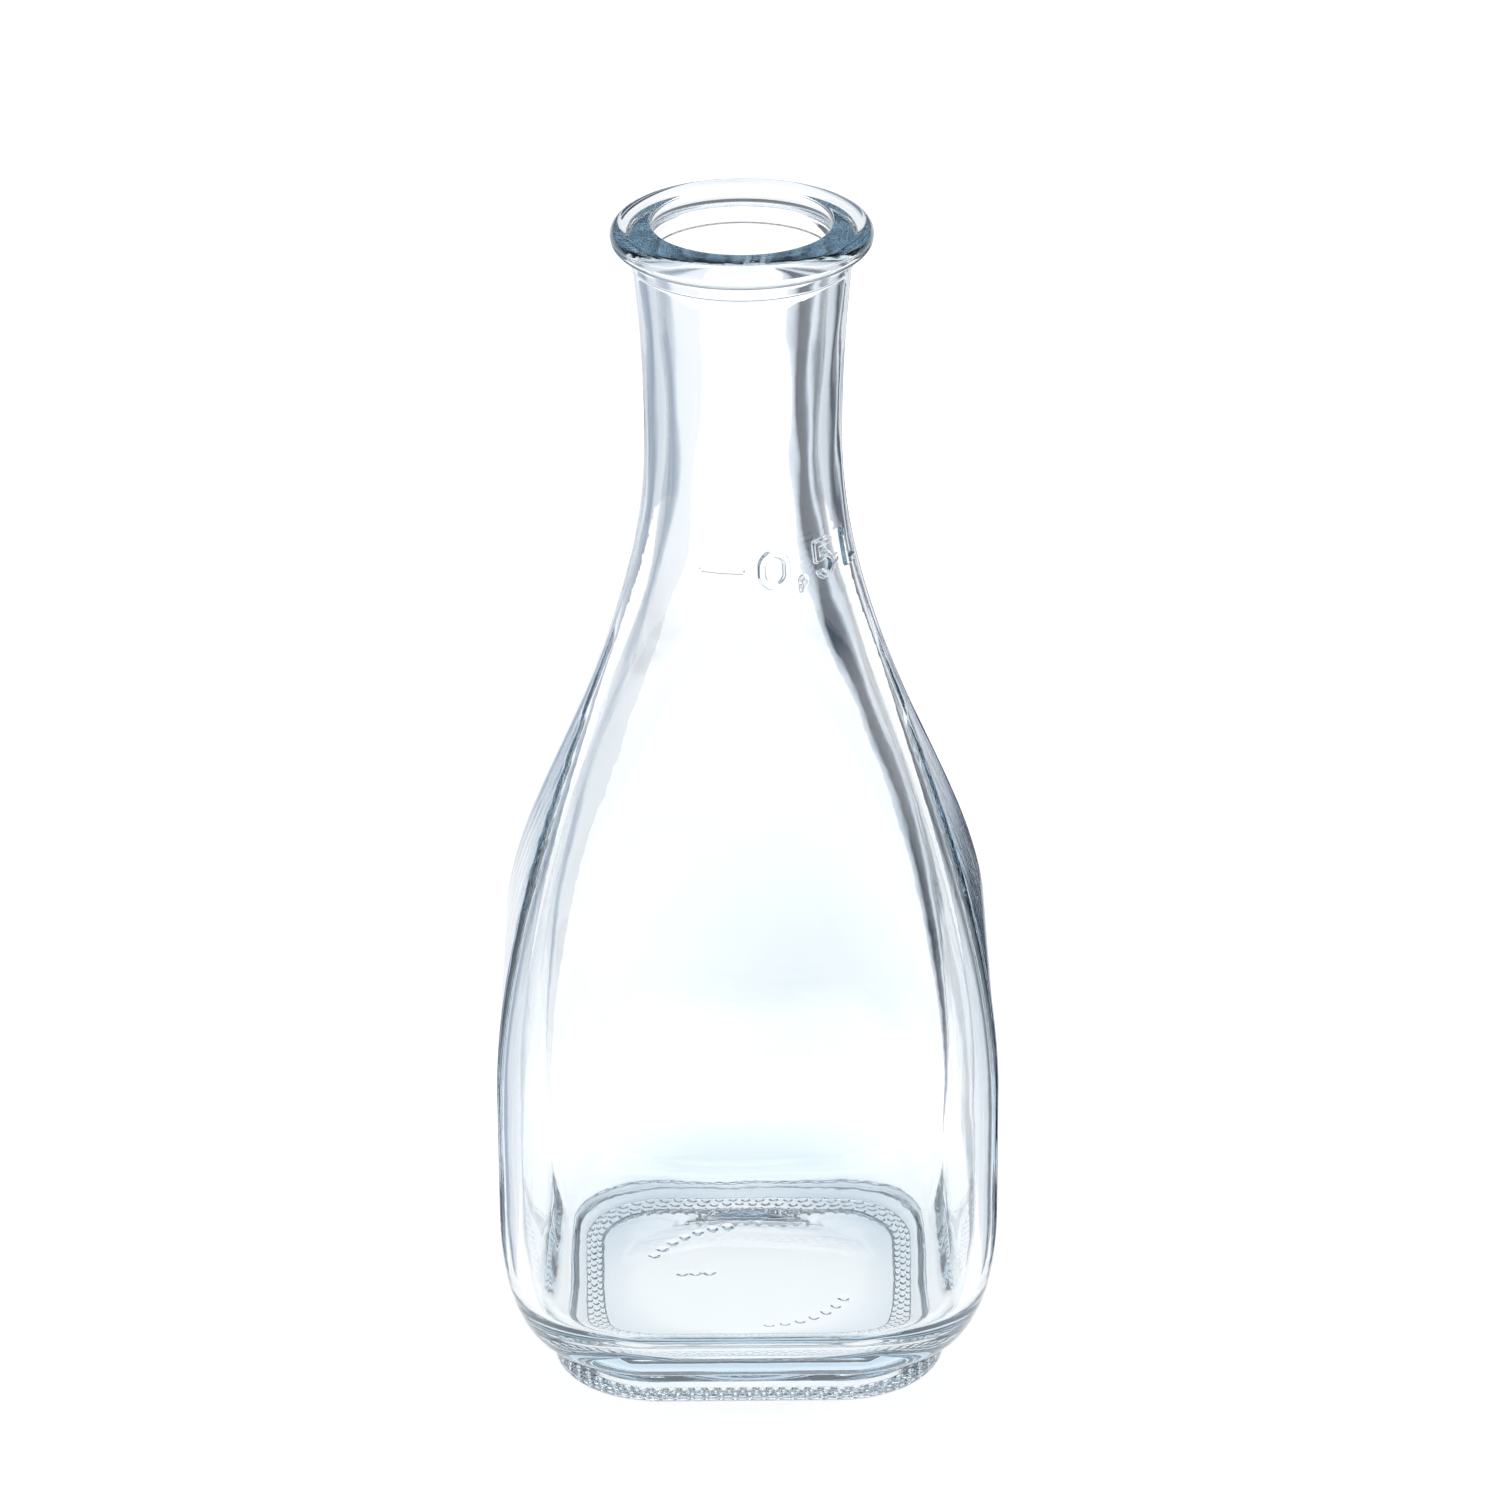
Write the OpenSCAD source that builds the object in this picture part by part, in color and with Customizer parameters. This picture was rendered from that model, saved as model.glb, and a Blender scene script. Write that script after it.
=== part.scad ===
// Square half-litre glass bottle with a round neck and a stepped foot.
// The origin is the middle of the resting face. +Z is up and -Y is the front.
// The glass is drawn zone by zone, cut where the moulds that shape it meet.

/* [Outline] */
// Height from the table to the top of the lip
total_h = 197; // [150:1:260]
// Width of the square body across its flats
body_w = 82; // [68:1:110]
// Radius of the upright corners of the body
body_corner_r = 16; // [10:0.5:20]
// Height where the straight body ends and the shoulder starts
shoulder_start_z = 55; // [45:1:70]
// Distance from the top of the lip down to the narrowest place of the neck
neck_waist_drop = 36.5; // [30:0.5:45]
// Outer radius of the neck at its narrowest place
neck_waist_r = 15.9; // [13:0.1:20]
// How far the neck widens from its narrowest place up to the collar
neck_flare = 1.7; // [0.5:0.1:3]
// Distance from the top of the lip down to where the shoulder becomes round
round_drop = 59; // [50:1:74]

/* [Glass thickness] */
// Wall of the neck
neck_wall = 3.3; // [2:0.1:4.5]
// Wall of the body and the heel
body_wall = 3.5; // [2.5:0.1:5]
// Height of the inner floor above the table
floor_z = 9.5; // [8:0.1:14]
// Height of the rounding between the inner floor and the walls
floor_round_h = 9; // [4:0.5:12]
// Width of the rounding between the inner floor and the walls
floor_round_w = 7; // [3:0.5:9]

/* [Lip] */
// How far the lip bead stands out from the top of the neck
lip_overhang = 3.4; // [2:0.1:6]
// Height of the lip bead
lip_h = 4.2; // [3:0.1:6]
// Rounding at the inner edge of the mouth
mouth_edge_r = 0.5; // [0.3:0.1:1]
// Height of the plain collar under the lip
collar_h = 2.4; // [1.5:0.1:5]
// How far the collar stands out from the top of the neck
collar_step = 0.35; // [0.1:0.05:1]

/* [Foot and heel] */
// Width of the foot across its flats
foot_w = 65; // [50:1:70]
// Corner radius of the foot
foot_corner_r = 18; // [13:0.5:19]
// Height of the foot
foot_h = 6; // [4:0.1:7]
// Rounding along the lower outer edge of the foot
foot_edge_r = 1.6; // [0.5:0.1:2.5]
// Height of the rounded heel above the foot
heel_h = 26.5; // [18:0.5:30]
// Height of the mould joint above the top of the foot
seam_rise = 10; // [6:0.5:16]
// How far the ridge at the mould joint stands out
seam_proud = 0.25; // [0.1:0.05:0.5]
// Height of the ridge at the mould joint
seam_h = 0.7; // [0.4:0.1:1.2]

/* [Underside] */
// Width of the plain ring outside the stippling that the bottle rests on
rest_ring_w = 3.4; // [2.5:0.1:5]
// Height of the hollow under the base at its edge
hollow_h = 1.6; // [0.8:0.1:2.5]
// Extra height of the hollow at its middle
hollow_rise = 1.6; // [0.5:0.1:3]
// Width of the sunk band that carries the stippling
stipple_band_w = 4.6; // [3:0.1:5]
// Depth of the sunk band, which is also the height of its bumps
stipple_h = 0.5; // [0.3:0.05:0.8]
// Diameter of one stippling bump at its root
stipple_d = 1.2; // [0.8:0.1:1.4]
// Number of rows of bumps
stipple_rows = 3; // [2:1:3]
// Number of bumps in one row
stipple_count = 84; // [48:4:96]
// Diameter of one mould dot under the base
mould_dot_d = 1.5; // [1:0.1:2]
// How far a mould dot stands out
mould_dot_h = 0.35; // [0.2:0.05:0.6]
// Distance from the edge of the base plug in to the two arcs of mould dots
mould_dot_inset = 7; // [6:0.5:9]
// Distance from the edge of the base plug in to the edge of the hollow
hollow_inset = 1; // [0.5:0.1:2]

/* [Capacity mark] */
// Distance from where the shoulder becomes round up to the fill line
mark_rise = 6; // [4:0.5:20]
// How far the capacity mark stands out of the neck
mark_proud = 0.45; // [0.2:0.05:0.8]
// Height of a numeral
numeral_h = 6.3; // [4:0.1:8]
// Width of a numeral
numeral_w = 5.2; // [3.5:0.1:6]
// Width of a numeral's stroke
stroke_w = 1.05; // [0.7:0.05:1.3]
// Height of the fill line
fill_line_h = 0.7; // [0.4:0.1:1]
// Angle that the fill line spans round the neck
fill_line_span = 22; // [12:1:30]

/* [Hidden] */
glass = [0.78, 0.86, 0.9, 0.55];
relief = [0.6, 0.7, 0.78, 0.8];
round_fn = 96;
small_fn = 24;
arc_steps = 8;
heel_steps = 8;
shoulder_steps = 16;
neck_steps = 24;
bead_steps = 10;
edge_steps = 4;
reach = 200;

body_half = body_w / 2;
foot_half = foot_w / 2;
base_half = foot_half - rest_ring_w - stipple_band_w;
base_corner_r = foot_corner_r - rest_ring_w - stipple_band_w;
lip_z = total_h - lip_h;
collar_z = lip_z - collar_h;
waist_z = total_h - neck_waist_drop;
round_z = total_h - round_drop;
heel_z = foot_h + heel_h;
seam_z = foot_h + seam_rise;
mark_z = round_z + mark_rise;
neck_top_r = neck_waist_r + neck_flare;
lip_r = neck_top_r + lip_overhang;
mould_dot_arc_r = base_half - mould_dot_inset;
hollow_edge_r = base_half - hollow_inset;
hollow_flat_r = mould_dot_arc_r + mould_dot_d;
mould_row_x = -mould_dot_arc_r / 2;
mouth_r = neck_top_r - neck_wall;
collar_r = neck_top_r + collar_step;
neck_step_h = (collar_z - round_z) / neck_steps;

// Angles of the marks round the neck, from the front towards the right
fill_line_at = -12;
zero_at = 16;
comma_at = 32;
five_at = 47;
litre_at = 72;

// Limits a value to the range from 0 to 1
function unit(t) = max(0, min(1, t));
// Soft step from 0 to 1 with level ends
function soft(t) = unit(t) * unit(t) * (3 - 2 * unit(t));
// Quarter-ellipse rise from 0 to 1
function quarter(t) = sqrt(max(0, 1 - pow(1 - unit(t), 2)));

// Half width of the outside at height z
function heel_half(z) = foot_half + (body_half - foot_half) * quarter((z - foot_h) / heel_h);
function shoulder_half(z) =
    neck_waist_r + (body_half - neck_waist_r)
    * (1 + cos(180 * unit((z - shoulder_start_z) / (waist_z - shoulder_start_z)))) / 2;
function flare(z) = neck_flare * pow(unit((z - waist_z) / (collar_z - waist_z)), 2);
function outer_half(z) =
    z < heel_z ? heel_half(z) : z < shoulder_start_z ? body_half : shoulder_half(z) + flare(z);

// Corner radius of the outside at height z: square at the foot and body, round at the neck
function heel_corner(z) = foot_corner_r + (body_corner_r - foot_corner_r) * soft((z - foot_h) / heel_h);
function roundness(z) = soft((z - shoulder_start_z) / (round_z - shoulder_start_z));
function outer_corner(z) =
    z < heel_z ? heel_corner(z)
    : body_corner_r + (outer_half(z) - body_corner_r) * roundness(z);

// Glass thickness and the rounding of the inner floor at height z
function wall(z) = body_wall + (neck_wall - body_wall) * roundness(z);
function floor_inset(z) = floor_round_w * (1 - quarter((z - floor_z) / floor_round_h));
function inner_half(z) = outer_half(z) - wall(z) - floor_inset(z);
function inner_corner(z) =
    min(inner_half(z), max(outer_corner(z) - wall(z), floor_inset(z) + outer_corner(z) - wall(z)));

// Points round a square of half width a with corner radius r, at height z
function square_ring(z, a, r) =
    [for (q = [0:3]) for (i = [0:arc_steps])
        let (t = 90 * (q + i / arc_steps), m = 90 * q + 45, c = (a - r) * sqrt(2))
        [c * cos(m) + r * cos(t), c * sin(m) + r * sin(t), z]];

// Ring-shaped solid through stations of [height, half width, corner radius],
// listed up the outside and down the inside
module loft_ring(stations) {
    n = 4 * (arc_steps + 1);
    m = len(stations);
    points = [for (s = stations) each square_ring(s[0], s[1], s[2])];
    faces = [for (j = [0:m - 1]) for (i = [0:n - 1])
        let (k = (j + 1) % m, h = (i + 1) % n)
        each [[j * n + i, k * n + i, k * n + h], [j * n + i, k * n + h, j * n + h]]];
    polyhedron(points, faces, convexity = 6);
}

// Flat square with round corners
module rounded_square(half, r) {
    straight = half - r;
    for (x = [-straight, straight]) for (y = [-straight, straight])
        translate([x, y]) circle(r, $fn = round_fn);
    square([2 * half, 2 * straight], center = true);
    square([2 * straight, 2 * half], center = true);
}

// Point and direction at a share s of the way round a square path with round corners
function path_side(half, r) = 2 * (half - r);
function path_len(half, r) = 4 * (path_side(half, r) + PI * r / 2);
function path_point(s, half, r) =
    let (quarter_len = path_len(half, r) / 4,
         q = floor(4 * s),
         d = (4 * s - q) * quarter_len,
         side = path_side(half, r),
         turn = max(0, d - side) / r * 180 / PI,
         x = half - r + r * cos(turn),
         y = min(d, side) - side / 2 + r * sin(turn))
    [x * cos(90 * q) - y * sin(90 * q), x * sin(90 * q) + y * cos(90 * q)];

// Lip: the rounded bead that the mouth ends in
module lip() {
    bead_r = lip_h / 2;
    color(glass) rotate_extrude($fn = round_fn) polygon(concat(
        [[mouth_r, lip_z]],
        [for (i = [0:bead_steps])
            let (t = -90 + 180 * i / bead_steps)
            [lip_r - bead_r + bead_r * cos(t), lip_z + bead_r + bead_r * sin(t)]],
        [for (i = [0:edge_steps])
            let (t = 90 + 90 * i / edge_steps)
            [mouth_r + mouth_edge_r + mouth_edge_r * cos(t), total_h - mouth_edge_r + mouth_edge_r * sin(t)]]));
}

// Collar: the plain ring that the neck mould leaves under the lip
module collar() {
    color(glass) translate([0, 0, collar_z]) difference() {
        cylinder(r = collar_r, h = collar_h, $fn = round_fn);
        translate([0, 0, -1]) cylinder(r = mouth_r, h = collar_h + 2, $fn = round_fn);
    }
}

// Neck: round, narrowest at its waist and flared at both ends
function neck_heights() = [for (i = [0:neck_steps]) round_z + i * neck_step_h];
module neck() {
    up = neck_heights();
    down = [for (i = [neck_steps:-1:0]) round_z + i * neck_step_h];
    color(glass) rotate_extrude($fn = round_fn) polygon(concat(
        [for (z = up) [outer_half(z), z]],
        [for (z = down) [outer_half(z) - neck_wall, z]]));
}

// Shoulder: runs from the square body to the round neck
module shoulder() {
    step = (round_z - shoulder_start_z) / shoulder_steps;
    up = [for (i = [0:shoulder_steps]) shoulder_start_z + i * step];
    down = [for (i = [shoulder_steps:-1:0]) shoulder_start_z + i * step];
    color(glass) loft_ring(concat(
        [for (z = up) [z, outer_half(z), outer_corner(z)]],
        [for (z = down) [z, inner_half(z), inner_corner(z)]]));
}

// Body: the straight square part
module body() {
    color(glass) translate([0, 0, heel_z]) linear_extrude(shoulder_start_z - heel_z) difference() {
        rounded_square(body_half, body_corner_r);
        rounded_square(body_half - body_wall, body_corner_r - body_wall);
    }
}

// Heel: curves in from the body to the foot, and holds the rounded edge of the floor
module heel() {
    step = heel_h / heel_steps;
    rise = heel_z - floor_z;
    up = [for (i = [0:heel_steps]) foot_h + heel_h * (1 - cos(90 * i / heel_steps))];
    down = [for (i = [0:heel_steps]) floor_z + rise * (1 - sin(90 * i / heel_steps))];
    color(glass) loft_ring(concat(
        [for (z = up) [z, outer_half(z), outer_corner(z)]],
        [for (z = down) [z, inner_half(z), inner_corner(z)]],
        [[floor_z, base_half, base_corner_r], [foot_h, base_half, base_corner_r]]));
}

// Heel seam: the fine ridge where the base mould met the body mould
module heel_seam() {
    low = seam_z - seam_h / 2;
    high = seam_z + seam_h / 2;
    color(relief) loft_ring([
        [low, outer_half(low), outer_corner(low)],
        [seam_z, outer_half(seam_z) + seam_proud, outer_corner(seam_z) + seam_proud],
        [high, outer_half(high), outer_corner(high)]]);
}

// Base: the thick plug of glass under the floor, hollow on its underside
module base() {
    color(glass) difference() {
        translate([0, 0, hollow_h]) linear_extrude(floor_z - hollow_h)
            rounded_square(base_half, base_corner_r);
        translate([0, 0, hollow_h - hollow_rise])
            cylinder(r1 = 2 * hollow_edge_r - hollow_flat_r, r2 = hollow_flat_r,
                     h = 2 * hollow_rise, $fn = round_fn);
    }
}

// Foot: the stepped ring that the bottle stands on
module foot() {
    band_half = base_half + stipple_band_w;
    color(glass) difference() {
        union() {
            for (i = [0:edge_steps - 1]) {
                t = 90 * (i + 0.5) / edge_steps;
                inset = foot_edge_r * (1 - sin(t));
                low = foot_edge_r * (1 - cos(90 * i / edge_steps));
                translate([0, 0, low]) linear_extrude(foot_h - low)
                    rounded_square(foot_half - inset, foot_corner_r - inset);
            }
        }
        translate([0, 0, -1]) linear_extrude(foot_h + 2) rounded_square(base_half, base_corner_r);
        translate([0, 0, -1]) linear_extrude(stipple_h + 1)
            rounded_square(band_half, base_corner_r + stipple_band_w);
    }
}

// Stippling: rows of small bumps in the sunk band under the foot
module stippling() {
    pitch = stipple_band_w / stipple_rows;
    color(relief) for (row = [0:stipple_rows - 1]) for (i = [0:stipple_count - 1]) {
        out = pitch * (row + 0.5);
        share = (i + 0.5 * (row % 2)) / stipple_count;
        translate(concat(path_point(share, base_half + out, base_corner_r + out), [0.02]))
            cylinder(d1 = stipple_d / 2, d2 = stipple_d, h = stipple_h - 0.02, $fn = small_fn);
    }
}

// Mould dots: two arcs of dots and a short row, on the underside of the base
module mould_dot(x, y) {
    translate([x, y, hollow_h + hollow_rise - mould_dot_h])
        cylinder(d = mould_dot_d, h = mould_dot_h, $fn = small_fn);
}
module mould_dots() {
    color(relief) {
        for (side = [-52, 128]) for (i = [-3:3])
            mould_dot(mould_dot_arc_r * cos(side + 9 * i), mould_dot_arc_r * sin(side + 9 * i));
        for (i = [-1:1])
            mould_dot(mould_row_x + i * 1.5 * mould_dot_d, 0);
    }
}

// Thin shell over the neck that the capacity mark is cut from
module mark_shell() {
    heights = [for (z = neck_heights()) if (abs(z - mark_z) < numeral_h + neck_step_h) z];
    last = len(heights) - 1;
    rotate_extrude($fn = round_fn) polygon(concat(
        [for (z = heights) [outer_half(z), z]],
        [for (i = [last:-1:0]) [outer_half(heights[i]) + mark_proud, heights[i]]]));
}
// Raises a flat shape on the neck, centred at an angle from the front
module raised_mark(angle) {
    color(relief) intersection() {
        mark_shell();
        rotate([0, 0, angle]) translate([0, -neck_waist_r / 2, mark_z]) rotate([90, 0, 0])
            linear_extrude(reach) children();
    }
}

module fill_line() {
    color(relief) intersection() {
        mark_shell();
        rotate([0, 0, fill_line_at - fill_line_span / 2 - 90])
            translate([0, 0, mark_z - fill_line_h / 2])
            rotate_extrude(angle = fill_line_span, $fn = round_fn) square([reach, fill_line_h]);
    }
}

// Upright ring with straight sides, as wide and tall as a numeral
module oval(inset) {
    r = numeral_w / 2 - inset;
    rise = (numeral_h - numeral_w) / 2;
    for (y = [-rise, rise]) translate([0, y]) circle(r, $fn = round_fn / 2);
    square([2 * r, 2 * rise], center = true);
}
module numeral_zero() {
    raised_mark(zero_at) difference() {
        oval(0);
        oval(stroke_w);
    }
}

module decimal_comma() {
    comma_r = 0.75 * stroke_w;
    dot_y = (stroke_w - numeral_h) / 2;
    raised_mark(comma_at) {
        translate([0, dot_y]) circle(comma_r, $fn = small_fn);
        translate([0, dot_y]) polygon([[0.8 * comma_r, 0], [-comma_r, -2.2 * comma_r], [-0.5 * comma_r, 0]]);
    }
}

module numeral_five() {
    bowl_r = numeral_h * 0.33;
    bowl_y = bowl_r - numeral_h / 2;
    left = -numeral_w * 0.42;
    raised_mark(five_at) {
        difference() {
            translate([0, bowl_y]) circle(bowl_r, $fn = round_fn / 2);
            translate([0, bowl_y]) circle(bowl_r - stroke_w, $fn = round_fn / 2);
            translate([-reach, bowl_y - bowl_r * 0.35]) square([reach, bowl_r * 0.7]);
        }
        translate([left, bowl_y + bowl_r * 0.35])
            square([stroke_w, numeral_h / 2 - bowl_y - bowl_r * 0.35]);
        translate([left, numeral_h / 2 - stroke_w]) square([numeral_w * 0.84, stroke_w]);
    }
}

module litre_sign() {
    raised_mark(litre_at) {
        translate([-numeral_w / 2, -numeral_h / 2]) square([stroke_w, numeral_h]);
        translate([-numeral_w / 2, -numeral_h / 2]) square([numeral_w * 0.75, stroke_w]);
    }
}

lip();
collar();
neck();
shoulder();
body();
heel_seam();
heel();
base();
foot();
stippling();
mould_dots();
fill_line();
numeral_zero();
decimal_comma();
numeral_five();
litre_sign();
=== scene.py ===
"""Clear half-litre glass bottle: one continuous glass skin, a pale floor, soft light and a camera."""
import math

import bpy
import numpy as np
from mathutils import Matrix, Vector


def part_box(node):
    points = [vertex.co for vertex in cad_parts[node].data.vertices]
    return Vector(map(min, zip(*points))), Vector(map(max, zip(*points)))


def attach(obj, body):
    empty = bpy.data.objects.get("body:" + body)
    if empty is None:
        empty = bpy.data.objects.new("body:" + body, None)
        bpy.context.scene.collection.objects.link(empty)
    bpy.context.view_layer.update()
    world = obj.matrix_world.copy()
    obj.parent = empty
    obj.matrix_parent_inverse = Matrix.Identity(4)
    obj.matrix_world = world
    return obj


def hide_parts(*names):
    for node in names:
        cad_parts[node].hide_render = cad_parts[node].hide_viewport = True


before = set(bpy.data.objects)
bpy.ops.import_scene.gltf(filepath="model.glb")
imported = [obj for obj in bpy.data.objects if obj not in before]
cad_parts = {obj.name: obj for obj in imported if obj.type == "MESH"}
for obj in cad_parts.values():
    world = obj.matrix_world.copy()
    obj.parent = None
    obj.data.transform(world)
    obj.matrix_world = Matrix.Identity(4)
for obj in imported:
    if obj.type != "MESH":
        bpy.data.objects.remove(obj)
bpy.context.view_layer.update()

MM = 0.001

# ---------------------------------------------------------------- sizes read from the frame


def low(node):
    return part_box(node)[0]


def high(node):
    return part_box(node)[1]


TOTAL_H = high("lip").z
LIP_Z = low("lip").z
LIP_R = high("lip").x
COLLAR_Z = low("collar").z
COLLAR_R = high("collar").x
ROUND_Z = low("neck").z
SHOULDER_Z = high("body").z
HEEL_Z = low("body").z
BODY_HALF = high("body").x
FOOT_H = high("foot").z
FLOOR_Z = high("base").z
HOLLOW_H = low("base").z
BASE_HALF = high("base").x
HOLLOW_TOP = high("mould_dots").z
MARK_Z = (low("fill_line").z + high("fill_line").z) / 2

# ---------------------------------------------------------------- sizes of the maker's drawing

BODY_CORNER_R = 16 * MM
FOOT_HALF = 32.5 * MM
FOOT_CORNER_R = 18 * MM
FOOT_EDGE_R = 1.6 * MM
BASE_CORNER_R = 10 * MM
STIPPLE_BAND = 4.6 * MM
STIPPLE_H = 0.5 * MM
STIPPLE_R = 0.68 * MM
STIPPLE_ROWS = 3
STIPPLE_COUNT = 84
WAIST_DROP = 36.5 * MM
WAIST_R = 15.9 * MM
NECK_TOP_R = 17.6 * MM
NECK_WALL = 3.3 * MM
BODY_WALL = 3.5 * MM
FLOOR_ROUND_H = 9 * MM
FLOOR_ROUND_W = 7 * MM
SEAM_Z = 16 * MM
SEAM_PROUD = 0.22 * MM
SEAM_H = 0.7 * MM
DOT_ARC_R = 17.5 * MM
DOT_R = 0.75 * MM
DOT_H = 0.35 * MM
MARK_PROUD = 0.55 * MM
NUMERAL_H = 6.3 * MM
NUMERAL_W = 5.2 * MM
STROKE_W = 1.05 * MM

MIDDLE_R = 0.4 * MM
BASE_EDGE_INSET = 1 * MM
MOUTH_EDGE_R = 0.5 * MM
FLOOR_CROWN = 0.5 * MM
MARK_ANGLES = {"line": -12, "zero": 16, "comma": 32, "five": 47, "litre": 72}
LINE_REACH = 3.3 * MM
DOT_STEP = 9
RIPPLE = 0.07 * MM

AROUND = 840
OUTSIDE_BLUR = 0.22 * MM
INSIDE_BLUR = 0.4 * MM
WAIST_Z = TOTAL_H - WAIST_DROP
MOUTH_R = NECK_TOP_R - NECK_WALL


def unit(t):
    return np.clip(t, 0, 1)


def soft(t):
    return unit(t) ** 2 * (3 - 2 * unit(t))


def quarter(t):
    """Quarter-ellipse rise from 0 to 1."""
    return np.sqrt(np.maximum(0, 1 - (1 - unit(t)) ** 2))


# ---------------------------------------------------------------- outline of the glass


def outer_half(z):
    heel = FOOT_HALF + (BODY_HALF - FOOT_HALF) * quarter((z - FOOT_H) / (HEEL_Z - FOOT_H))
    fall = (1 + np.cos(np.pi * unit((z - SHOULDER_Z) / (WAIST_Z - SHOULDER_Z)))) / 2
    flare = (NECK_TOP_R - WAIST_R) * unit((z - WAIST_Z) / (COLLAR_Z - WAIST_Z)) ** 2
    upper = WAIST_R + (BODY_HALF - WAIST_R) * fall + flare
    return np.where(z < HEEL_Z, heel, upper)


def roundness(z):
    return soft((z - SHOULDER_Z) / (ROUND_Z - SHOULDER_Z))


def outer_corner(z):
    heel = FOOT_CORNER_R + (BODY_CORNER_R - FOOT_CORNER_R) * soft((z - FOOT_H) / (HEEL_Z - FOOT_H))
    upper = BODY_CORNER_R + (outer_half(z) - BODY_CORNER_R) * roundness(z)
    return np.where(z < HEEL_Z, heel, upper)


def wall(z):
    return BODY_WALL + (NECK_WALL - BODY_WALL) * roundness(z)


def floor_inset(z):
    return FLOOR_ROUND_W * (1 - quarter((z - FLOOR_Z) / FLOOR_ROUND_H))


def inner_half(z):
    return outer_half(z) - wall(z) - floor_inset(z)


def inner_corner(z):
    return np.minimum(inner_half(z), outer_corner(z) - wall(z) + floor_inset(z))


def arc(centre_half, centre_z, r, start, end, steps=10):
    t = np.radians(np.linspace(start, end, steps))
    return centre_half + r * np.cos(t), centre_z + r * np.sin(t)


def station_rows(halves, heights, corners):
    halves = np.atleast_1d(np.asarray(halves, float))
    heights = np.broadcast_to(np.asarray(heights, float), halves.shape)
    corners = np.broadcast_to(np.asarray(corners, float), halves.shape)
    return np.stack([halves, heights, corners], 1)


def outside_stations():
    """Outline from the middle of the underside, round the foot and up to the inner edge of the lip."""
    edge_r = BASE_HALF - BASE_EDGE_INSET
    band_half = BASE_HALF + STIPPLE_BAND
    band_corner = BASE_CORNER_R + STIPPLE_BAND
    disc = np.linspace(MIDDLE_R, edge_r, 30)
    foot_x, foot_z = arc(FOOT_HALF - FOOT_EDGE_R, FOOT_EDGE_R, FOOT_EDGE_R, -90, 0)
    inset = FOOT_HALF - foot_x
    turn = np.linspace(0, np.pi / 2, 24)
    heel_z = FOOT_H + (HEEL_Z - FOOT_H) * (1 - np.cos(turn))
    side_z = np.concatenate([heel_z, np.linspace(HEEL_Z, SHOULDER_Z, 5)[1:],
                             np.linspace(SHOULDER_Z, COLLAR_Z, 90)[1:]])
    bead_r = (TOTAL_H - LIP_Z) / 2
    bead_x, bead_z = arc(LIP_R - bead_r, LIP_Z + bead_r, bead_r, -90, 90, 20)
    edge_x, edge_z = arc(MOUTH_R + MOUTH_EDGE_R, TOTAL_H - MOUTH_EDGE_R, MOUTH_EDGE_R, 90, 180, 6)
    return np.concatenate([
        station_rows(disc, HOLLOW_TOP - (HOLLOW_TOP - HOLLOW_H) * (disc / edge_r) ** 2, disc),
        station_rows([BASE_HALF], HOLLOW_H, BASE_CORNER_R),
        station_rows([BASE_HALF, band_half], STIPPLE_H, [BASE_CORNER_R, band_corner]),
        station_rows([band_half], 0, band_corner),
        station_rows(foot_x, foot_z, FOOT_CORNER_R - inset),
        station_rows(outer_half(side_z), side_z, outer_corner(side_z)),
        station_rows([COLLAR_R, COLLAR_R], [COLLAR_Z, LIP_Z], COLLAR_R),
        station_rows(bead_x, bead_z, bead_x),
        station_rows(edge_x, edge_z, edge_x)])


def inside_stations():
    """Outline from the mouth down the inside to the middle of the floor."""
    neck_z = np.linspace(COLLAR_Z, SHOULDER_Z, 80)
    turn = np.linspace(0, np.pi / 2, 30)[:-1]
    lower_z = FLOOR_Z + (SHOULDER_Z - FLOOR_Z) * (1 - np.sin(turn))
    heights = np.concatenate([neck_z, lower_z[1:]])
    reach = inner_half(heights[-1])
    disc = np.linspace(reach, MIDDLE_R, 16)[1:]
    shrink = inner_corner(heights[-1]) / reach
    crown = FLOOR_CROWN * (1 - (disc / reach) ** 2)
    return np.concatenate([
        station_rows([MOUTH_R], COLLAR_Z + 1 * MM, MOUTH_R),
        station_rows(inner_half(heights), heights, inner_corner(heights)),
        station_rows(disc, FLOOR_Z + crown, disc * (shrink + (1 - shrink) * (1 - disc / reach)))])


def soften(stations, blur, fine=0.08 * MM):
    """Rounds the sharp turns of an outline, as fire does to the edges of glass."""
    step = np.hypot(np.diff(stations[:, 0]), np.diff(stations[:, 1])) + 1e-9
    length = np.concatenate([[0], np.cumsum(step)])
    count = int(length[-1] / fine)
    even = np.linspace(0, length[-1], count)
    dense = np.stack([np.interp(even, length, stations[:, k]) for k in range(3)], 1)
    half = int(3 * blur / fine)
    kernel = np.exp(-0.5 * (np.arange(-half, half + 1) * fine / blur) ** 2)
    kernel /= kernel.sum()
    smooth = np.empty_like(dense)
    for k in range(3):
        head = 2 * dense[0, k] - dense[half:0:-1, k]
        tail = 2 * dense[-1, k] - dense[-2:-half - 2:-1, k]
        smooth[:, k] = np.convolve(np.concatenate([head, dense[:, k], tail]), kernel, "valid")
    return even, smooth


def spread(even, dense, long_step, turn_step, close_zones):
    """Picks stations: far apart on straight runs, close where the outline turns or carries relief."""
    direction = np.unwrap(np.arctan2(np.gradient(dense[:, 1]), np.gradient(dense[:, 0])))
    weight = np.gradient(even) / long_step + np.abs(np.gradient(direction)) / turn_step
    for inside, step in close_zones:
        weight = weight + inside(dense) * np.gradient(even) / step
    total = np.cumsum(weight)
    count = int(total[-1])
    picks = np.interp(np.linspace(total[0], total[-1], count), total, even)
    return np.stack([np.interp(picks, even, dense[:, k]) for k in range(3)], 1)


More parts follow.
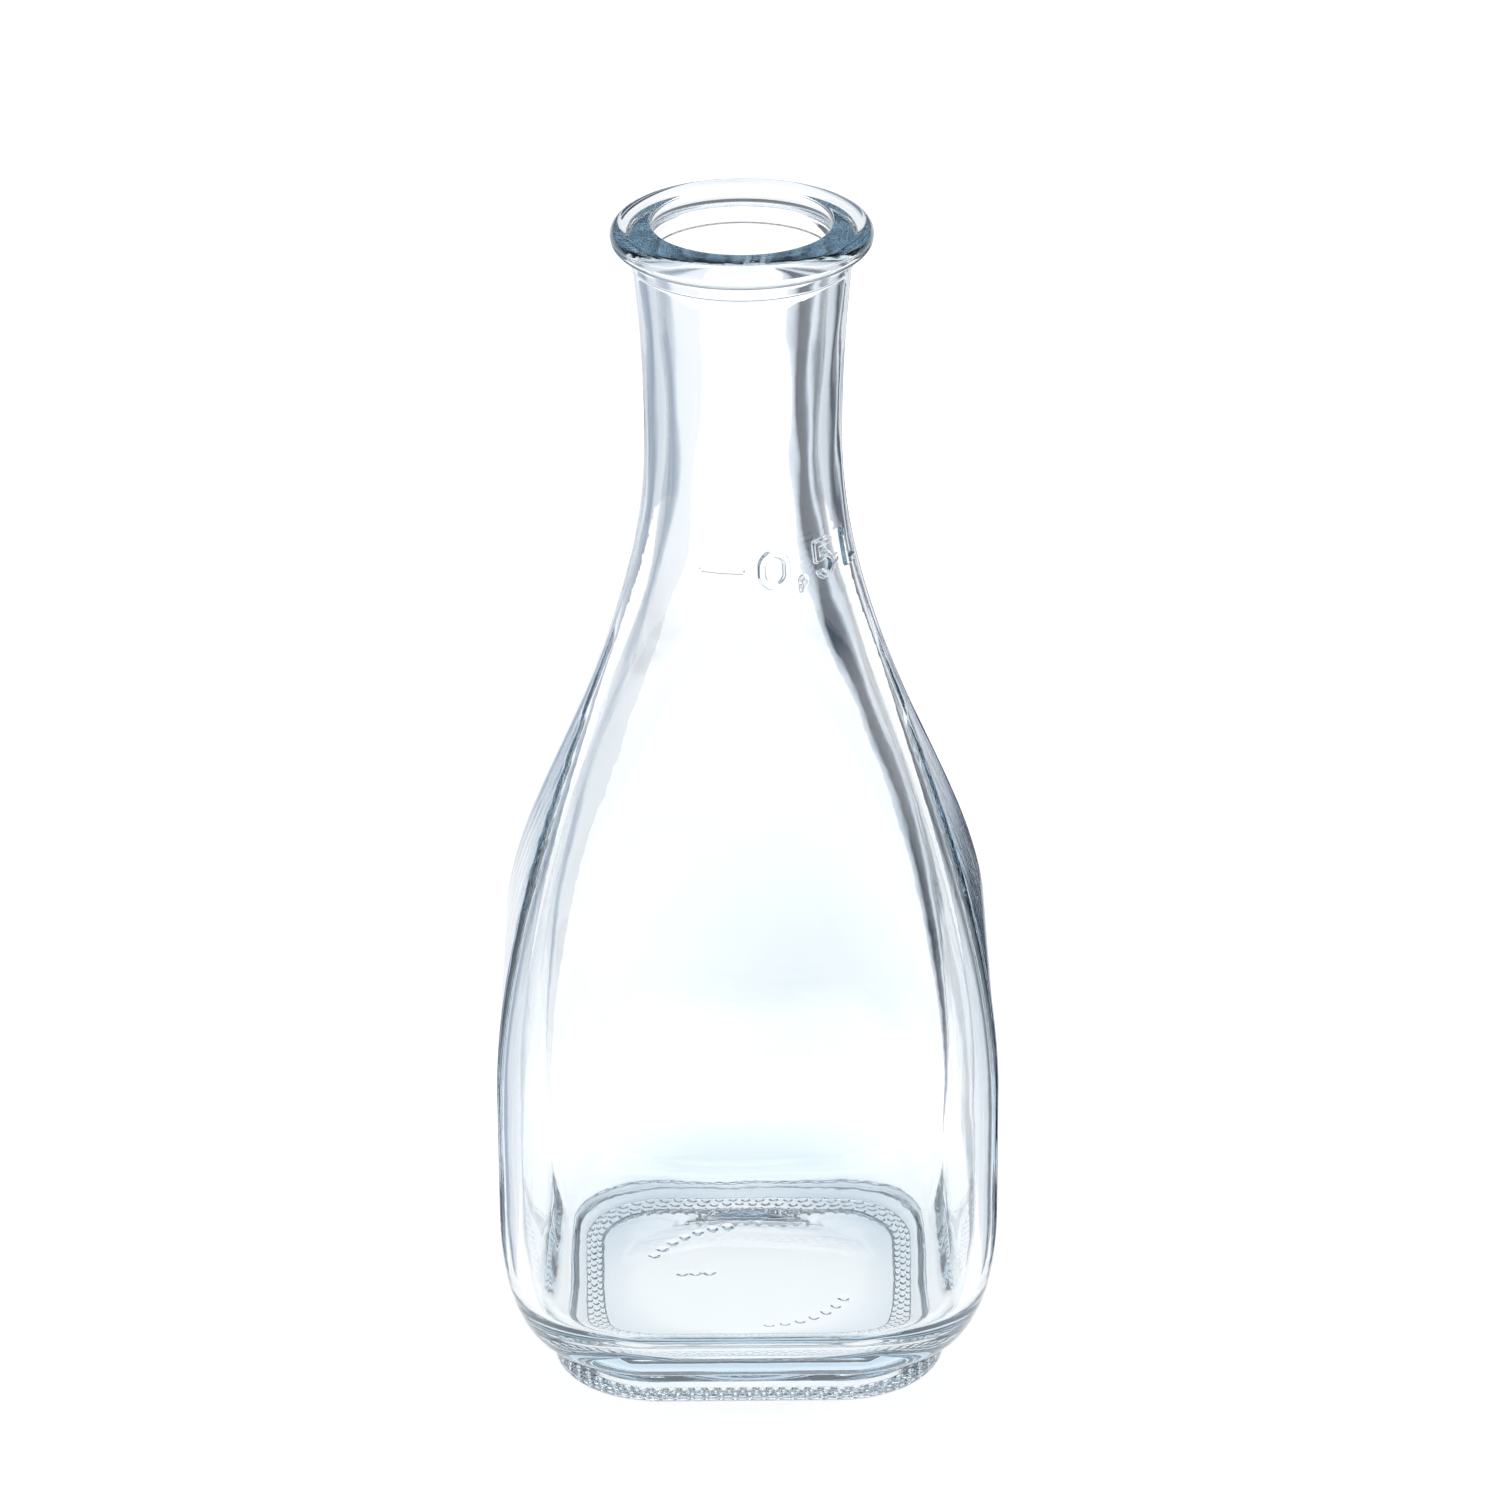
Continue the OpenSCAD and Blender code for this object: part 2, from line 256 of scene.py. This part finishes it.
def square_path(share, half, corner):
    """Points and outward directions by share of the way round a square path, from the front's middle."""
    side = 2 * (half - corner)
    bend = np.pi * corner / 2
    quarter_len = side + bend
    whole = np.mod(share, 1) * 4
    turn_no = np.floor(whole + 0.5)
    along = (whole + 0.5 - turn_no - 0.5) * quarter_len
    straight = np.clip(along, -side / 2, side / 2)
    angle = (along - straight) / np.maximum(corner, 1e-9)
    x = straight + corner * np.sin(angle)
    y = -(half - corner) - corner * np.cos(angle)
    facing = angle + turn_no * np.pi / 2
    cos, sin = np.cos(turn_no * np.pi / 2), np.sin(turn_no * np.pi / 2)
    return x * cos - y * sin, x * sin + y * cos, np.sin(facing), -np.cos(facing)


# ---------------------------------------------------------------- relief on the glass


def plateau(distance, half_width, edge=0.13 * MM):
    """Height from 0 to 1 of a stroke with soft sides."""
    return soft((half_width - distance) / edge + 0.5)


def to_segment(x, y, ax, ay, bx, by):
    dx, dy = bx - ax, by - ay
    t = unit(((x - ax) * dx + (y - ay) * dy) / (dx * dx + dy * dy))
    return np.hypot(x - ax - t * dx, y - ay - t * dy)


def capacity_mark(x, y):
    """Relief of the fill line and the figures, x round the neck from the front and y up, in metres."""
    half = STROKE_W / 2
    radius = float(outer_half(np.array(MARK_Z)))
    at = {name: math.radians(angle) * radius for name, angle in MARK_ANGLES.items()}
    line = plateau(to_segment(x - at["line"], y, -LINE_REACH, 0, LINE_REACH, 0), 0.35 * MM) * 0.6
    rise = (NUMERAL_H - NUMERAL_W) / 2
    zero_y = y - np.clip(y, -rise, rise)
    zero = plateau(np.abs(np.hypot(x - at["zero"], zero_y) - NUMERAL_W / 2 + half), half)
    comma_y = (STROKE_W - NUMERAL_H) / 2
    comma_x = x - at["comma"]
    tail = to_segment(comma_x, y - comma_y, 0.3 * MM, 0, -0.4 * MM, -1.2 * MM)
    comma = np.maximum(plateau(np.hypot(comma_x, y - comma_y), 0.75 * STROKE_W),
                       plateau(tail, 0.4 * STROKE_W))
    five_x = x - at["five"]
    bowl_r = NUMERAL_H * 0.33
    bowl_y = y - bowl_r + NUMERAL_H / 2
    bowl = plateau(np.abs(np.hypot(five_x, bowl_y) - bowl_r + half), half)
    open_side = (five_x < 0) & (np.abs(bowl_y) < bowl_r * 0.35)
    bowl = np.where(open_side, 0, bowl)
    left = -NUMERAL_W * 0.42 + half
    top = NUMERAL_H / 2 - half
    stem = plateau(to_segment(five_x, y, left, top, left, bowl_r * 1.35 - NUMERAL_H / 2 + half), half)
    flag = plateau(to_segment(five_x, y, left, top, NUMERAL_W * 0.42 - half, top), half)
    litre_x = x - at["litre"]
    left = half - NUMERAL_W / 2
    upright = plateau(to_segment(litre_x, y, left, top, left, -top), half)
    sole = plateau(to_segment(litre_x, y, left, -top, left + NUMERAL_W * 0.75 - STROKE_W, -top), half)
    marks = [zero, comma, bowl, stem, flag, upright, sole]
    return MARK_PROUD * np.maximum(line, np.maximum.reduce(marks))


def stipple_relief(share, out):
    """Rows of small bumps in the sunk band, by share of the way round and distance from its edge."""
    pitch = STIPPLE_BAND / STIPPLE_ROWS
    height = np.zeros(np.broadcast(share, out).shape)
    for row in range(STIPPLE_ROWS):
        middle = pitch * (row + 0.5)
        path_len = 4 * (2 * (BASE_HALF - BASE_CORNER_R) + np.pi * (BASE_CORNER_R + middle) / 2)
        place = share * STIPPLE_COUNT - 0.5 * (row % 2)
        along = (place - np.round(place)) * path_len / STIPPLE_COUNT
        near = 1 - (along ** 2 + (out - middle) ** 2) / STIPPLE_R ** 2
        height = np.maximum(height, np.sqrt(np.maximum(0, near)))
    return 0.9 * STIPPLE_H * height


def dot_relief(x, y):
    """Two arcs and a short row of plain dots under the base."""
    angles = [math.radians(middle + DOT_STEP * i) for middle in (-52, 128) for i in range(-3, 4)]
    places = [(DOT_ARC_R * math.cos(angle), DOT_ARC_R * math.sin(angle)) for angle in angles]
    places += [(-DOT_ARC_R / 2 + i * 3 * DOT_R, 0) for i in (-1, 0, 1)]
    height = np.zeros(x.shape)
    for px, py in places:
        height = np.maximum(height, plateau(np.hypot(x - px, y - py), DOT_R, 0.4 * MM))
    return 0.95 * DOT_H * height


def ripple(share, z, size):
    """Slow unevenness of blown glass, the same on every run."""
    a = 2 * np.pi * share
    swell = (np.sin(3 * a + 40 * z + 1.1) + 0.7 * np.sin(5 * a - 95 * z + 0.4)
             + 0.6 * np.sin(8 * a + 150 * z + 2.2) + 0.35 * np.sin(13 * a - 260 * z + 0.9))
    return size * swell / 2.65


def outside_points(stations):
    share = (np.arange(AROUND) / AROUND)[None]
    half, z, corner = (stations[:, k][:, None] for k in range(3))
    x, y, nx, ny = square_path(share, half, np.minimum(corner, half))
    z = z + 0 * x
    on_neck = (z > MARK_Z - NUMERAL_H) & (z < MARK_Z + NUMERAL_H) & (half > MOUTH_R)
    angle = np.where(share > 0.5, share - 1, share) * 2 * np.pi
    radius = float(outer_half(np.array(MARK_Z)))
    lift = np.where(on_neck, capacity_mark(angle * radius, z - MARK_Z), 0)
    seam = np.maximum(0, 1 - ((z - SEAM_Z) / (SEAM_H / 2)) ** 2) * (half > FOOT_HALF)
    lift = lift + SEAM_PROUD * seam
    x, y = x + nx * lift, y + ny * lift
    in_band = (z < STIPPLE_H + 0.02 * MM) & (z > STIPPLE_H - 0.1 * MM) & (half < BASE_HALF + STIPPLE_BAND)
    z = z - np.where(in_band, stipple_relief(share, half - BASE_HALF), 0)
    z = z - np.where(half < DOT_ARC_R + 2 * DOT_R, dot_relief(x, y) * (z < FLOOR_Z), 0)
    return np.stack([x, y, z], 2)


def inside_points(stations):
    share = (np.arange(AROUND // 2) * 2 / AROUND)[None]
    half, z, corner = (stations[:, k][:, None] for k in range(3))
    x, y, nx, ny = square_path(share, half, np.minimum(corner, half))
    z = z + 0 * x
    calm = soft((z - FLOOR_Z) / (15 * MM)) * soft((COLLAR_Z - z) / (12 * MM))
    push = ripple(share, z, RIPPLE) * calm
    return np.stack([x + nx * push, y + ny * push, z], 2)


def in_marks(stations):
    return (np.abs(stations[:, 1] - MARK_Z) < NUMERAL_H * 0.75) & (stations[:, 0] < 30 * MM)


def in_stipple(stations):
    half, z = stations[:, 0], stations[:, 1]
    return (z < STIPPLE_H + 0.1 * MM) & (half > BASE_HALF) & (half < BASE_HALF + STIPPLE_BAND)


def in_dots(stations):
    return (stations[:, 0] < DOT_ARC_R + 2 * DOT_R) & (stations[:, 1] < FLOOR_Z)


def build_skin():
    """The whole glass as one closed skin: up the outside, then down the inside to the floor."""
    even, dense = soften(outside_stations(), OUTSIDE_BLUR)
    zones = [(in_marks, 0.17 * MM), (in_stipple, 0.2 * MM), (in_dots, 0.35 * MM)]
    outer = outside_points(spread(even, dense, 1.8 * MM, math.radians(7), zones))
    even, dense = soften(inside_stations(), INSIDE_BLUR)
    inner = inside_points(spread(even, dense, 1.6 * MM, math.radians(6), []))
    outer_n, inner_n = AROUND, AROUND // 2
    points = np.concatenate([outer.reshape(-1, 3), inner.reshape(-1, 3)])
    faces = []

    def bands(first, rings, n):
        i = np.arange(n)
        h = (i + 1) % n
        for j in range(rings - 1):
            a, b = first + j * n, first + (j + 1) * n
            faces.extend(np.stack([a + i, a + h, b + h, b + i], 1).tolist())

    bands(0, len(outer), outer_n)
    start = outer.shape[0] * outer_n
    bands(start, len(inner), inner_n)
    last = start - outer_n
    for i in range(inner_n):
        h = (i + 1) % inner_n
        faces.append([last + 2 * i, last + 2 * i + 1, last + (2 * i + 2) % outer_n, start + h, start + i])
    faces.append(list(range(outer_n))[::-1])
    end = start + (len(inner) - 1) * inner_n
    faces.append(list(range(end, end + inner_n)))
    mesh = bpy.data.meshes.new("glass_bottle")
    mesh.from_pydata(points.tolist(), [], faces)
    mesh.validate()
    mesh.shade_smooth()
    skin = bpy.data.objects.new("glass_bottle", mesh)
    bpy.context.scene.collection.objects.link(skin)
    print("skin", len(points), "points", len(faces), "faces")
    return skin


# ---------------------------------------------------------------- shader writing


class Value:
    """A shader socket that can be used in Python sums."""

    def __init__(self, nodes, socket):
        self.nodes = nodes
        self.socket = socket

    def maths(self, operation, first, second):
        return self.nodes.add("ShaderNodeMath", {"operation": operation}, {0: first, 1: second})

    def __add__(self, other):
        return self.maths("ADD", self, other)

    def __mul__(self, other):
        return self.maths("MULTIPLY", self, other)

    def __sub__(self, other):
        return self.maths("SUBTRACT", self, other)

    def __rsub__(self, other):
        return self.maths("SUBTRACT", other, self)

    __radd__ = __add__
    __rmul__ = __mul__


class Nodes:
    """The node tree of one material."""

    def __init__(self, tree):
        self.tree = tree
        tree.nodes.clear()

    def add(self, kind, settings=None, sockets=None, output=0):
        node = self.tree.nodes.new(kind)
        for name, value in (settings or {}).items():
            if name == "stops":
                ramp = node.color_ramp.elements
                while len(ramp) < len(value):
                    ramp.new(0.5)
                for stop, (place, colour) in zip(ramp, value):
                    stop.position, stop.color = place, colour
            else:
                setattr(node, name, value)
        for name, value in (sockets or {}).items():
            if isinstance(value, Value):
                self.tree.links.new(value.socket, node.inputs[name])
            else:
                node.inputs[name].default_value = value
        return Value(self, node.outputs[output]) if len(node.outputs) else node


def new_material(name):
    material = bpy.data.materials.new(name)
    material.use_nodes = True
    return material, Nodes(material.node_tree)


def clear_glass():
    """Pressed soda-lime glass: clear, faintly cool in its depth, with a very slight orange peel."""
    material, nodes = new_material("clear_glass")
    place = nodes.add("ShaderNodeTexCoord", output=3)
    broad = nodes.add("ShaderNodeTexNoise", {}, {
        "Vector": place, "Scale": 55, "Detail": 2, "Roughness": 0.4})
    fine = nodes.add("ShaderNodeTexNoise", {}, {
        "Vector": place, "Scale": 260, "Detail": 2, "Roughness": 0.5})
    skin = nodes.add("ShaderNodeBump", {}, {"Height": broad * 0.8 + fine * 0.2, "Strength": 0.25,
                                            "Distance": 0.0002})
    tint = nodes.add("ShaderNodeMix", {"data_type": "RGBA"}, {
        0: fine, 6: (0.985, 0.995, 1.0, 1), 7: (0.965, 0.985, 0.995, 1)}, output=2)
    glass = nodes.add("ShaderNodeBsdfPrincipled", {}, {
        "Base Color": tint, "Roughness": broad * 0.02, "IOR": 1.5, "Transmission Weight": 1.0,
        "Normal": skin})
    depth = nodes.add("ShaderNodeVolumeAbsorption", {}, {"Color": (0.53, 0.68, 0.77, 1), "Density": 12.0})
    nodes.add("ShaderNodeOutputMaterial", {}, {"Surface": glass, "Volume": depth})
    return material


def soft_spot(nodes, place, middle, reach):
    """A value that is 1 at the middle of an oval on the floor and 0 at its rim."""
    oval = nodes.add("ShaderNodeMapping", {}, {
        "Vector": place, "Location": (-middle[0] / reach[0], -middle[1] / reach[1], 0),
        "Scale": (1 / reach[0], 1 / reach[1], 1)})
    return nodes.add("ShaderNodeTexGradient", {"gradient_type": "SPHERICAL"}, {"Vector": oval}, output=1)


def pale_floor():
    """Matt white sweep that glows, with painted light and shade: one soft cooler painted shadow under the
    bottle, painted bright straight beneath it, and one painted cool shade spot behind it.
    """
    material, nodes = new_material("pale_floor")
    place = nodes.add("ShaderNodeTexCoord", output=3)
    cloud = nodes.add("ShaderNodeTexNoise", {}, {"Vector": place, "Scale": 6, "Detail": 3})
    paint = nodes.add("ShaderNodeMix", {"data_type": "RGBA"},
                      {0: cloud, 6: (0.5, 0.5, 0.5, 1), 7: (0.54, 0.54, 0.54, 1)}, output=2)
    # painted shadow: the floor glows cooler and dimmer in an oval round the bottle's foot, standing in
    # for a contact shadow
    under = nodes.add("ShaderNodeValToRGB", {"stops": [
        (0, (0.88, 0.88, 0.88, 1)), (0.2, (0.80, 0.85, 0.88, 1)), (0.45, (0.62, 0.71, 0.79, 1)),
        (1, (0.62, 0.71, 0.79, 1))]},
        {0: soft_spot(nodes, place, (0, 20 * MM), (39 * MM, 58 * MM))})
    # painted light: straight beneath the bottle the floor glows full white, standing in for light coming
    # through the glass
    lit = nodes.add("ShaderNodeValToRGB", {"stops": [(0, (0, 0, 0, 1)), (0.3, (1, 1, 1, 1))]},
                    {0: soft_spot(nodes, place, (0, 3 * MM), (27 * MM, 30 * MM))})
    under = nodes.add("ShaderNodeMix", {"data_type": "RGBA"},
                      {0: lit, 6: under, 7: (1.0, 1.0, 1.0, 1)}, output=2)
    # painted shade: a soft cool dim spot in the floor's glow behind the bottle, seen through its body
    behind = nodes.add("ShaderNodeValToRGB", {"stops": [
        (0, (1, 1, 1, 1)), (0.5, (0.88, 0.92, 0.97, 1)), (1, (0.76, 0.82, 0.91, 1))]},
        {0: soft_spot(nodes, place, (10 * MM, 130 * MM), (32 * MM, 60 * MM))})
    # the floor's even glow, with the painted shadow, painted light and painted shade spots multiplied in
    glow = nodes.add("ShaderNodeMix", {"data_type": "RGBA", "blend_type": "MULTIPLY"},
                     {0: 1.0, 6: under, 7: behind}, output=2)
    floor = nodes.add("ShaderNodeBsdfPrincipled", {}, {
        "Base Color": paint, "Roughness": cloud * 0.1 + 0.6, "Specular IOR Level": 0.0,
        "Emission Color": glow, "Emission Strength": 1.0})
    nodes.add("ShaderNodeOutputMaterial", {}, {"Surface": floor})
    return material


# ---------------------------------------------------------------- the object

clear = clear_glass()
skin = build_skin()
skin.data.materials.append(clear)
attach(skin, "root")
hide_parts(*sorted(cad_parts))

# ---------------------------------------------------------------- floor, light and camera

scene = bpy.context.scene


def flat_sheet(name, corners):
    mesh = bpy.data.meshes.new(name)
    mesh.from_pydata([tuple(c) for c in corners], [], [tuple(range(len(corners)))])
    sheet = bpy.data.objects.new(name, mesh)
    scene.collection.objects.link(sheet)
    return sheet


FLOOR_SIZE = 6.0
floor = flat_sheet("floor", [(-FLOOR_SIZE, -FLOOR_SIZE, 0), (FLOOR_SIZE, -FLOOR_SIZE, 0),
                             (FLOOR_SIZE, FLOOR_SIZE, 0), (-FLOOR_SIZE, FLOOR_SIZE, 0)])
floor.data.materials.append(pale_floor())

world = bpy.data.worlds.new("studio")
world.use_nodes = True
scene.world = world
sky = Nodes(world.node_tree)
light = sky.add("ShaderNodeBackground", {}, {"Color": (0.86, 0.92, 1.0, 1), "Strength": 0.22})
sky.add("ShaderNodeOutputWorld", {}, {"Surface": light})


def softbox(name, place, target, size, power):
    data = bpy.data.lights.new(name, "AREA")
    data.shape = "RECTANGLE"
    data.size, data.size_y = size
    data.energy = power
    lamp = bpy.data.objects.new(name, data)
    lamp.location = place
    lamp.rotation_euler = (Vector(target) - Vector(place)).to_track_quat("-Z", "Y").to_euler()
    scene.collection.objects.link(lamp)


softbox("overhead_box", (0, 0.2, 1.3), (0, 0, 0), (1.2, 1.0), 9)

# Camera: at the front, looking down
CAMERA_TURN = math.radians(-0.2)
CAMERA_DOWN = math.radians(25.1)
CAMERA_ROLL = math.radians(-0.35)
CAMERA_AWAY = 1.21
AIM = Vector((0.8 * MM, 0, 104.5 * MM))
LENS = 177.5

ahead = Vector((-math.sin(CAMERA_TURN) * math.cos(CAMERA_DOWN),
                math.cos(CAMERA_TURN) * math.cos(CAMERA_DOWN), -math.sin(CAMERA_DOWN)))
level = ahead.cross(Vector((0, 0, 1))).normalized()
upright = level.cross(ahead)
side = level * math.cos(CAMERA_ROLL) + upright * math.sin(CAMERA_ROLL)
up = upright * math.cos(CAMERA_ROLL) - level * math.sin(CAMERA_ROLL)
data = bpy.data.cameras.new("camera")
data.sensor_width = 36
data.lens = LENS
data.clip_start, data.clip_end = 0.01, 50
camera = bpy.data.objects.new("camera", data)
place = AIM - ahead * CAMERA_AWAY
camera.matrix_world = Matrix(((side.x, up.x, -ahead.x, place.x), (side.y, up.y, -ahead.y, place.y),
                              (side.z, up.z, -ahead.z, place.z), (0, 0, 0, 1)))
scene.collection.objects.link(camera)
scene.camera = camera

# Two glowing mats lie behind the bottle, left and right of an open strip a little wider than its body.
# Only the glass sees them. Their shades are painted shade and painted light, listed in degrees from
# straight back and chosen for the front view, where they draw the dark and bright edges of clear glass.
# From the front corners they show as grey patches.
PAINTED_STREAK_MATS = {
    "mat_left": (-1, [
        (0, (0.97, 0.98, 1.0)), (8, (0.95, 0.97, 1.0)), (11, (0.50, 0.57, 0.66)),
        (15, (0.26, 0.33, 0.43)),
        (30, (0.24, 0.30, 0.39)), (40, (0.72, 0.78, 0.85)), (80, (0.92, 0.95, 0.99))]),
    "mat_right": (1, [
        (0, (0.90, 0.93, 0.97)), (2, (0.40, 0.47, 0.57)), (2.6, (0.015, 0.02, 0.04)),
        (8, (0.02, 0.03, 0.06)),
        (9.5, (0.30, 0.36, 0.46)), (11, (0.80, 0.85, 0.91)), (14.5, (0.60, 0.66, 0.74)),
        (17.5, (0.03, 0.045, 0.08)), (30, (0.02, 0.03, 0.05)), (40, (0.70, 0.76, 0.83)),
        (80, (0.92, 0.95, 0.99))]),
}
MAT_REACH = 0.45
MAT_SPREAD = 84
MAT_STEPS = 24
MAT_INNER = 54 * MM
MAT_LIFT = 1 * MM


def shaded_mat(name, hand, shades):
    """A flat fan just above the floor that glows in painted shade and light by the angle round its inner
    corner.
    """
    points, faces = [(0, 0, 0)], []
    for i in range(MAT_STEPS + 1):
        angle = math.radians(i * MAT_SPREAD / MAT_STEPS)
        points.append((MAT_REACH * math.cos(angle), -hand * MAT_REACH * math.sin(angle), 0))
        if i:
            faces.append((0, i, i + 1))
    mesh = bpy.data.meshes.new(name)
    mesh.from_pydata(points, [], faces)
    mat = bpy.data.objects.new(name, mesh)
    scene.collection.objects.link(mat)
    mat.rotation_euler = (0, 0, math.pi / 2 + CAMERA_TURN)
    mat.location = (hand * MAT_INNER, 0, MAT_LIFT)
    material, nodes = new_material(name + "_paint")
    place = nodes.add("ShaderNodeTexCoord", output=3)
    turn = nodes.add("ShaderNodeTexGradient", {"gradient_type": "RADIAL"}, {"Vector": place}, output=1)
    stops = sorted((0.5 - hand * angle / 360, (*shade, 1)) for angle, shade in shades)
    shade = nodes.add("ShaderNodeValToRGB", {"stops": stops}, {0: turn})
    # painted shade and painted light: the fan glows in these shades and only the glass sees it
    card = nodes.add("ShaderNodeEmission", {}, {"Color": shade, "Strength": 1.0})
    nodes.add("ShaderNodeOutputMaterial", {}, {"Surface": card})
    mat.data.materials.append(material)
    mat.visible_camera = False
    mat.visible_diffuse = False
    mat.visible_shadow = False


for name, (hand, shades) in PAINTED_STREAK_MATS.items():
    shaded_mat(name, hand, shades)

scene.view_settings.view_transform = "Standard"
# Light runs a long way inside the wall before it leaves at the rim
BOUNCES = 48
scene.cycles.max_bounces = BOUNCES
scene.cycles.transmission_bounces = BOUNCES
scene.cycles.glossy_bounces = BOUNCES
